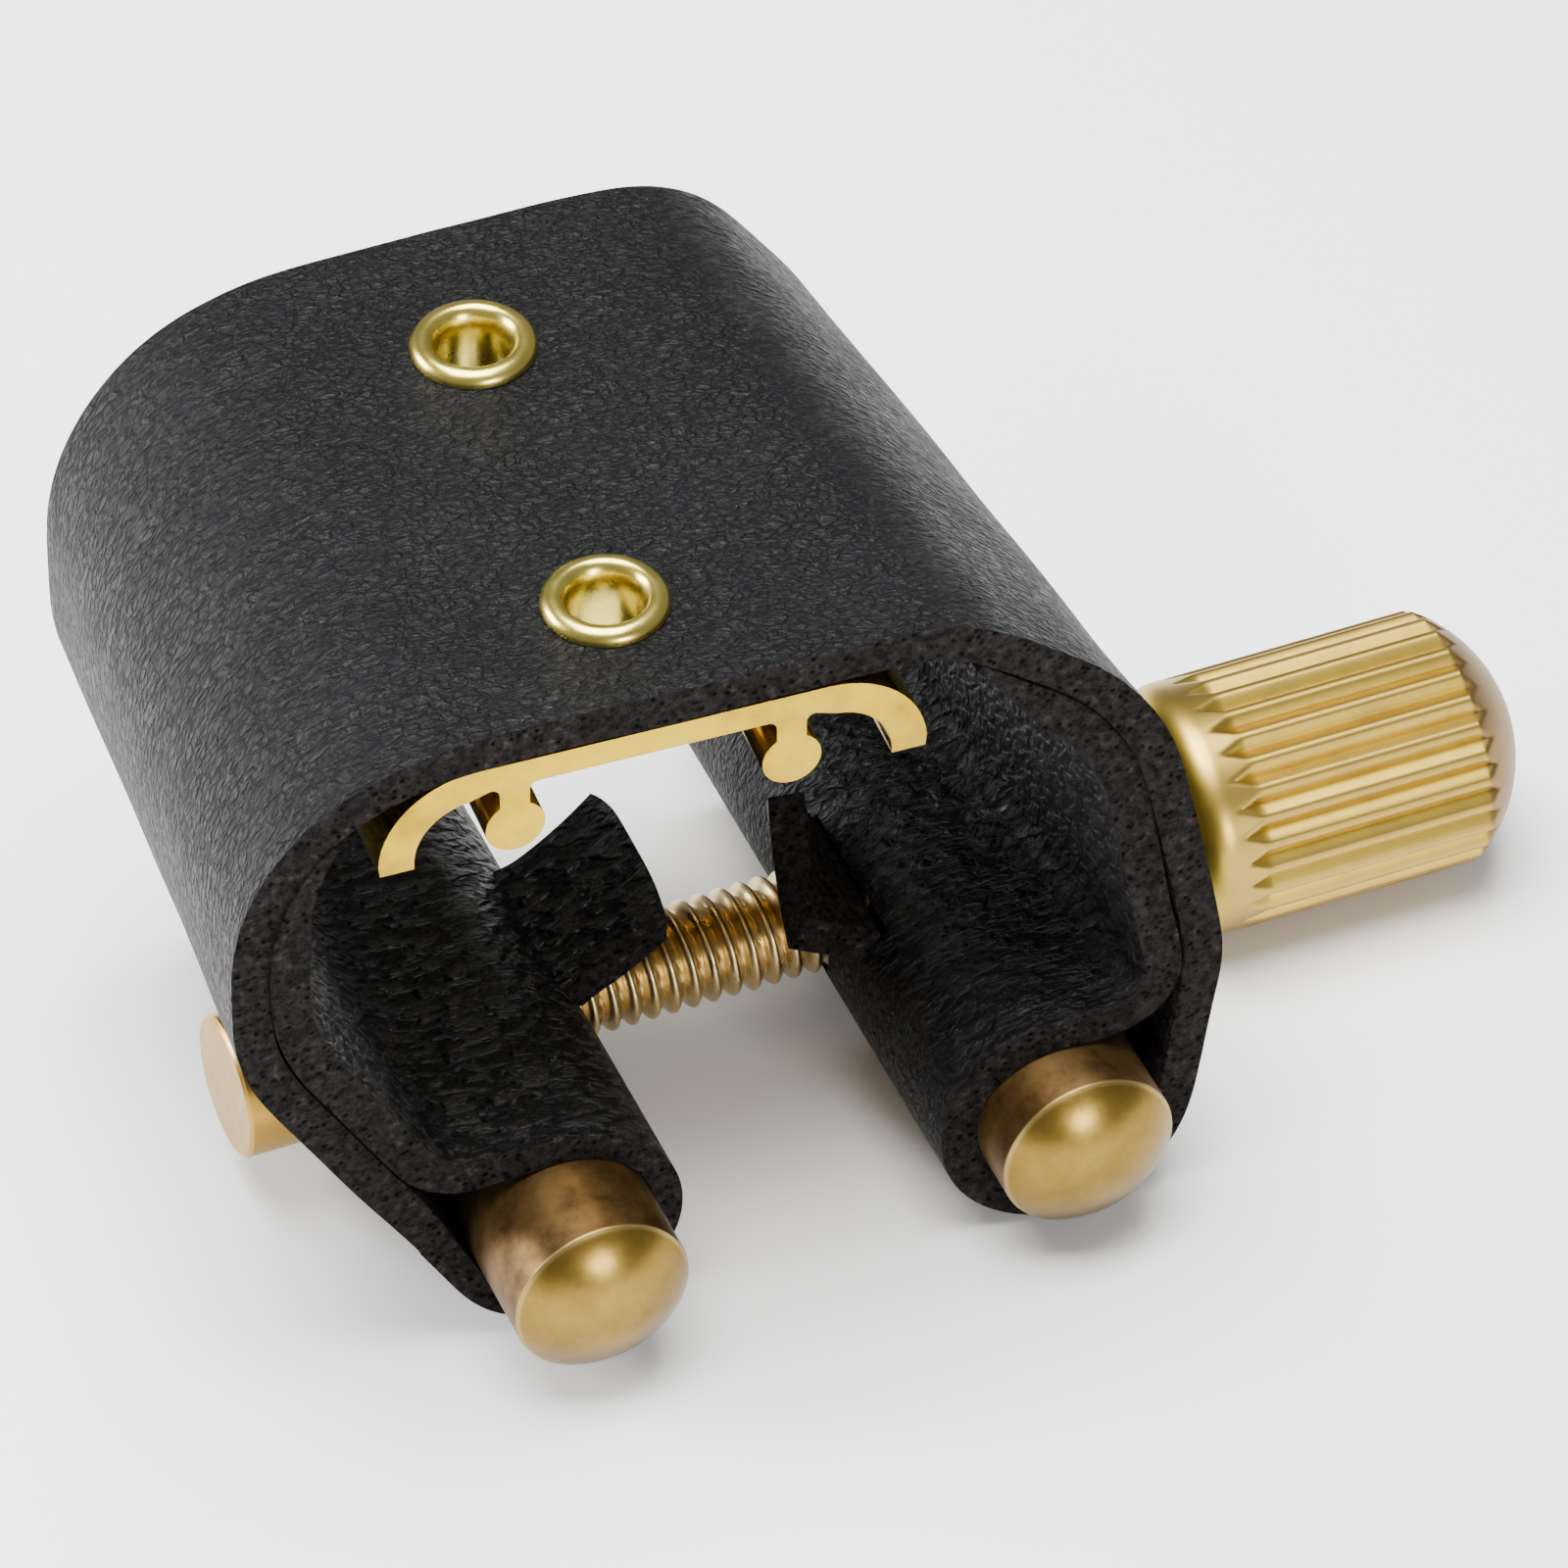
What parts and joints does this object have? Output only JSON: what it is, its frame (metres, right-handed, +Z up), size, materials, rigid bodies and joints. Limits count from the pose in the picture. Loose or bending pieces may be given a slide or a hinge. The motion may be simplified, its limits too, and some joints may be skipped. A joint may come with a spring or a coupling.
{
  "type": "saxophone ligature",
  "caption": "Tapered leather saxophone ligature with a ribbed gold reed plate, brass rods in its hems and a knurled thumb screw that draws them together.",
  "frame": {"origin": "bottom centre of the whole ligature's bounding box, standing on its two hems", "axes": "+X along the thumb screw towards its knob, +Y along the mouthpiece towards the band's narrow end, +Z up from the rods to the reed plate"},
  "size_m": [0.0435, 0.0262, 0.0244],
  "materials": {
    "leather": "black pebbled leather, matt brown-black cut edges",
    "gold_plate": "polished gold plate",
    "rod_brass": "satin lacquered brass",
    "screw_brass": "plain machined brass",
    "knob_brass": "satin lacquered brass, knurled"
  },
  "bodies": {
    "root": {"strap_crown": "leather", "reed_plate": "gold_plate", "eyelet_front": "gold_plate", "eyelet_rear": "gold_plate"},
    "arm_left": {"strap_left": "leather", "lining_left": "leather", "hem_left": "leather", "tongue_left": "leather", "rod_left": "rod_brass", "barrel_nut": "rod_brass"},
    "arm_right": {"strap_right": "leather", "lining_right": "leather", "hem_right": "leather", "tongue_right": "leather", "rod_right": "rod_brass"},
    "screw": {"screw_shank": "screw_brass", "thumb_knob": "knob_brass"}
  },
  "joints": [
    {"name": "arm_left_close", "type": "slide", "parent": "root", "child": "arm_left", "axis": [1, 0, 0], "range_m": [-0.00126, 0.00175]},
    {"name": "arm_right_close", "type": "slide", "parent": "root", "child": "arm_right", "axis": [-1, 0, 0], "range_m": [-0.00128, 0.00176]},
    {"name": "screw_spin", "type": "hinge", "parent": "arm_right", "child": "screw", "pos_m": [0.00855, 0, 0.00388], "axis": [-1, 0, 0], "range_deg": [-1440, 1980]}
  ],
  "couplings": [
    {"joint": "arm_right_close", "follows": "arm_left_close", "ratio": 1},
    {"joint": "screw_spin", "follows": "arm_left_close", "rad_per_m": 19790}
  ]
}
